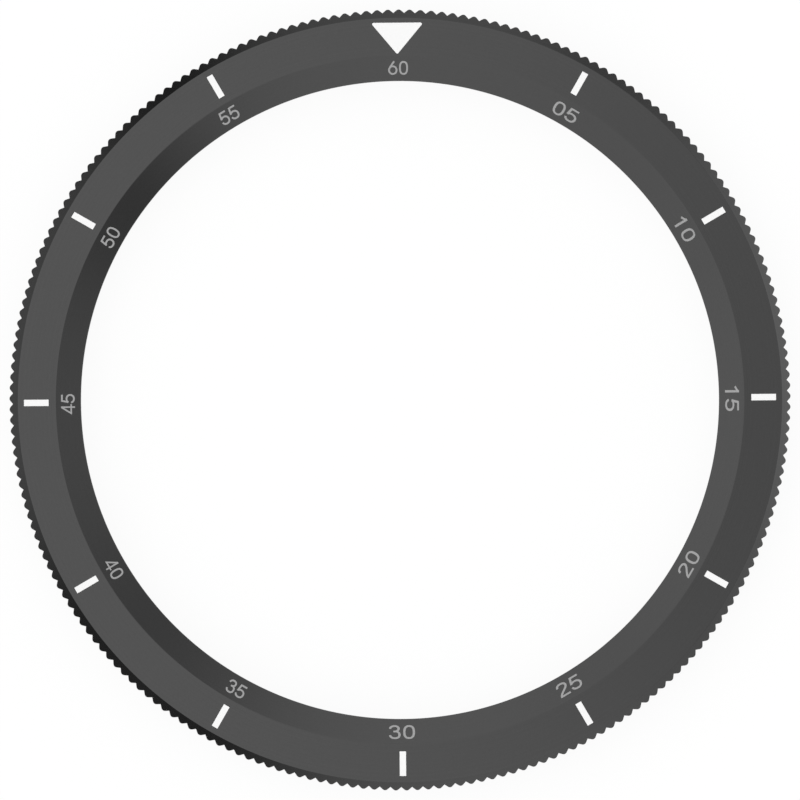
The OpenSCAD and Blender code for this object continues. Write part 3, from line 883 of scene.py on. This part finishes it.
glide_section = block_section(GLIDE_IN_R, GLIDE_OUT_R, GLIDE_Z, GLIDE_TOP_Z, radius=0.04, steps=3)
glide = settled(turned("glide_ring_moulded", glide_section, columns=720))
finish_piece(glide, "seat", "glide_plastic", PLASTIC, "glide_ring")

around = np.linspace(0, 2 * math.pi, 20, endpoint=False)
cord_section = np.column_stack([SEAL_FLOOR_R + PLAY + SEAL_D / 2 * (1 + np.cos(around)),
                                SEAL_Z + SEAL_D / 2 * np.sin(around)])
seal = turned("dust_seal_cord", cord_section, columns=360)
finish_piece(seal, "seat", "seal_rubber", RUBBER, "dust_seal")


def open_ring(name, section, opening, columns):
    """A ring with a gap at the 15 mark, both its ends closed."""
    angle = np.linspace(math.pi / 2 + opening / 2, 5 * math.pi / 2 - opening / 2, columns)
    points = polar(section[None, :, 0], angle[:, None], section[None, :, 1]).reshape(-1, 3)
    n = len(section)
    ends = polar(section[:, 0].mean(), angle[[0, -1]], section[:, 1].mean())
    loop = np.arange(n)
    total = n * columns
    caps = np.concatenate([fan(loop, total, True), fan(loop + total - n, total + 1)])
    return piece(name, np.concatenate([points, ends]), [between(columns, n, False), caps])


snap_section = block_section(SNAP_IN_R, SNAP_OUT_R, SNAP_Z, SNAP_TOP_Z, radius=0.09, steps=4)
snap = settled(open_ring("snap_ring_wire", snap_section, SNAP_OPENING, columns=360))
finish_piece(snap, "bezel", "spring_steel", SPRING_WIRE, "snap_ring")


def coil(name, x, y):
    """A wire carried along a helix: centre line (R cos t, R sin t, z(t)), the turns closed up at both ends.

    The wire's circle stands across the helix, spanned by the outward and the upward direction."""
    turns, sides, closed_end = 4, 10, 0.06
    steps = 40 * turns
    s = np.linspace(0, 1, steps + 1)
    t = 2 * math.pi * turns * s
    rise = np.clip((s - closed_end) / (1 - 2 * closed_end), 0, 1)
    z = SPRING_LOW_Z + (SPRING_HIGH_Z - SPRING_LOW_Z) * rise
    w = np.arange(sides) * 2 * math.pi / sides
    r = SPRING_R + WIRE_R * np.cos(w)[None]
    points = np.stack([x + r * np.cos(t)[:, None], y + r * np.sin(t)[:, None],
                       z[:, None] + WIRE_R * np.sin(w)[None]], axis=-1)
    last = t[[0, -1]]
    ends = np.stack([x + SPRING_R * np.cos(last), y + SPRING_R * np.sin(last), z[[0, -1]]], axis=-1)
    n = steps + 1
    loop = np.arange(sides)
    caps = np.concatenate([fan(loop, n * sides, True), fan(loop + (n - 1) * sides, n * sides + 1)])
    return piece(name, np.concatenate([points.reshape(-1, 3), ends]), [between(n, sides, False), caps])


def ball(name, x, y, z, r):
    """A ball: r (cos u cos v, sin u cos v, sin v) on a grid with a point at each pole."""
    columns, rows = 48, 23
    u = np.arange(columns) * 2 * math.pi / columns
    v = np.linspace(-math.pi / 2, math.pi / 2, rows + 2)[1:-1, None]
    points = np.stack(np.broadcast_arrays(x + r * np.cos(u) * np.cos(v), y + r * np.sin(u) * np.cos(v),
                                          z + r * np.sin(v)), axis=-1).reshape(-1, 3)
    poles = np.array([[x, y, z - r], [x, y, z + r]])
    loop = np.arange(columns)
    total = rows * columns
    caps = np.concatenate([fan(loop, total, True), fan(loop + total - columns, total + 1)])
    return piece(name, np.concatenate([points, poles]), [between(rows, columns, False), caps])


for p, a in PLUNGERS.items():
    x, y = track_place(a)
    spring = coil(f"click_spring_{p}", x, y)
    finish_piece(spring, "seat", "spring_steel", SPRING_WIRE, f"plunger_spring_{p}")
    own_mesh(spring)
    click_ball = ball(f"click_ball_{p}", x, y, BALL_Z, BALL_R)
    finish_piece(click_ball, f"ball_{p}", "ball_steel", BALL_STEEL, f"plunger_ball_{p}")

kept_nodes = {"index_ring": GROUND_STEEL, "index_screws": GROUND_STEEL, "sensor_magnets": NICKEL}
kept_nodes.update({f"plunger_sleeve_{p}": BRASS for p in PLUNGERS})
for node, material in kept_nodes.items():
    nodes[node].data.materials.clear()
    nodes[node].data.materials.append(material)


# Floor, light and camera

def seen_directly(tree):
    """1 for rays that come from the camera, a reflection or through glass, and 0 for the rest."""
    path = tree.nodes.new("ShaderNodeLightPath")
    mirrored = math_node(tree, "MAXIMUM", path.outputs["Is Glossy Ray"], path.outputs["Is Transmission Ray"])
    return math_node(tree, "MAXIMUM", path.outputs["Is Camera Ray"], mirrored)


def floor_finish():
    """A plain pale floor, white where it is seen, but for a share that keeps the object's soft shadow."""
    pale, shadow_share, white_level = 0.9, 0.08, 0.925
    material = bpy.data.materials.new("pale floor")
    material.use_nodes = True
    tree = material.node_tree
    tree.nodes.clear()
    plain = tree.nodes.new("ShaderNodeBsdfDiffuse")
    plain.inputs["Color"].default_value = (pale, pale, pale, 1)
    shade = tree.nodes.new("ShaderNodeBsdfDiffuse")
    shade.inputs["Color"].default_value = (shadow_share, shadow_share, shadow_share, 1)
    white = tree.nodes.new("ShaderNodeEmission")
    white.inputs["Color"].default_value = (1, 1, 1, 1)
    white.inputs["Strength"].default_value = white_level
    both = tree.nodes.new("ShaderNodeAddShader")
    tree.links.new(shade.outputs[0], both.inputs[0])
    tree.links.new(white.outputs[0], both.inputs[1])
    pick = tree.nodes.new("ShaderNodeMixShader")
    tree.links.new(seen_directly(tree), pick.inputs["Fac"])
    tree.links.new(plain.outputs[0], pick.inputs[1])
    tree.links.new(both.outputs[0], pick.inputs[2])
    out = tree.nodes.new("ShaderNodeOutputMaterial")
    tree.links.new(pick.outputs[0], out.inputs["Surface"])
    return material


def flat_square(name, half, z):
    """A level square about the dial's axis."""
    mesh = bpy.data.meshes.new(name)
    corners = [(-half, -half, z), (half, -half, z), (half, half, z), (-half, half, z)]
    mesh.from_pydata(corners, [], [(0, 1, 2, 3)])
    obj = bpy.data.objects.new(name, mesh)
    bpy.context.scene.collection.objects.link(obj)
    return obj


floor = flat_square("floor", half=3.0, z=-0.00001)
floor.data.materials.append(floor_finish())


# Soft black cards and one lamp round the studio: clockwise angle from the 60 mark in degrees,
# sine of the middle's elevation, tightness sideways, spread in height, and the share of light
# taken away, which is negative for the lamp
CARDS = [
    (47, 0.68, 11.5, 0.20, 0.64),
    (127, 0.55, 22.5, 0.30, 0.57),
    (98, 0.68, 2.2, 0.50, 0.43),
    (210, 0.23, 16.5, 0.19, 0.95),
    (234, 0.23, 16.0, 0.18, 0.95),
    (324, 0.25, 25.5, 0.19, 0.95),
    (34, 0.25, 29.5, 0.09, 0.70),
    (307, 0.10, 1.2, 0.17, 0.84),
    (89, 0.22, 7.0, 0.18, -0.62),
]
STUDIO = 1.25


def sky():
    """The studio: white all round but for soft cards that the metal mirrors.

    The camera sees it plain white, directly or through glass. A card of tightness k, middle
    height h and spread w dims the light from bearing b and height z by its share times
    exp(k (cos(b - card's) - 1) - ((z - h) / w)^2)."""
    world = bpy.data.worlds.new("soft studio")
    bpy.context.scene.world = world
    world.cycles.sampling_method = "NONE"
    world.use_nodes = True
    tree = world.node_tree
    tree.nodes.clear()
    way = tree.nodes.new("ShaderNodeTexCoord").outputs["Generated"]
    split = tree.nodes.new("ShaderNodeSeparateXYZ")
    tree.links.new(way, split.inputs[0])
    flat = tree.nodes.new("ShaderNodeCombineXYZ")
    tree.links.new(split.outputs["X"], flat.inputs["X"])
    tree.links.new(split.outputs["Y"], flat.inputs["Y"])
    bearing = tree.nodes.new("ShaderNodeVectorMath")
    bearing.operation = "NORMALIZE"
    tree.links.new(flat.outputs[0], bearing.inputs[0])
    level = STUDIO
    for angle, height, tight, spread, share in CARDS:
        beside = tree.nodes.new("ShaderNodeVectorMath")
        beside.operation = "DOT_PRODUCT"
        angle = math.radians(angle)
        beside.inputs[1].default_value = (math.sin(angle), math.cos(angle), 0)
        tree.links.new(bearing.outputs[0], beside.inputs[0])
        sideways = math_node(tree, "MULTIPLY_ADD", beside.outputs["Value"], tight, -tight)
        lift = math_node(tree, "MULTIPLY_ADD", split.outputs["Z"], 1 / spread, -height / spread)
        falloff = math_node(tree, "EXPONENT", math_node(
            tree, "SUBTRACT", sideways, math_node(tree, "MULTIPLY", lift, lift)))
        level = math_node(tree, "MULTIPLY", math_node(tree, "MULTIPLY_ADD", falloff, -share, 1.0), level)
    light = tree.nodes.new("ShaderNodeBackground")
    light.inputs["Color"].default_value = (1, 1, 1, 1)
    tree.links.new(level, light.inputs["Strength"])
    seen = tree.nodes.new("ShaderNodeLightPath")
    white = tree.nodes.new("ShaderNodeBackground")
    white.inputs["Color"].default_value = (1, 1, 1, 1)
    pick = tree.nodes.new("ShaderNodeMixShader")
    out = tree.nodes.new("ShaderNodeOutputWorld")
    shown = math_node(tree, "MAXIMUM", seen.outputs["Is Camera Ray"], seen.outputs["Is Transmission Ray"])
    tree.links.new(shown, pick.inputs["Fac"])
    tree.links.new(light.outputs[0], pick.inputs[1])
    tree.links.new(white.outputs[0], pick.inputs[2])
    tree.links.new(pick.outputs[0], out.inputs["Surface"])


sky()

# Width of the photograph's frame in mm at the tooth tips, and the camera's height in metres
FRAME_W = 46.084
CAMERA_Z = 1.0
CAMERA_TURN = math.radians(-0.458)
SENSOR_W = 36.0
lens = bpy.data.cameras.new("straight down")
lens.sensor_width = SENSOR_W
lens.lens = SENSOR_W * (CAMERA_Z / MM - rim_height(TIP_R)) / FRAME_W
camera = bpy.data.objects.new("straight down", lens)
camera.location = (0, 0, CAMERA_Z)
camera.rotation_euler = (0, 0, CAMERA_TURN)
bpy.context.scene.collection.objects.link(camera)
bpy.context.scene.camera = camera
bpy.context.scene.view_settings.view_transform = "Standard"
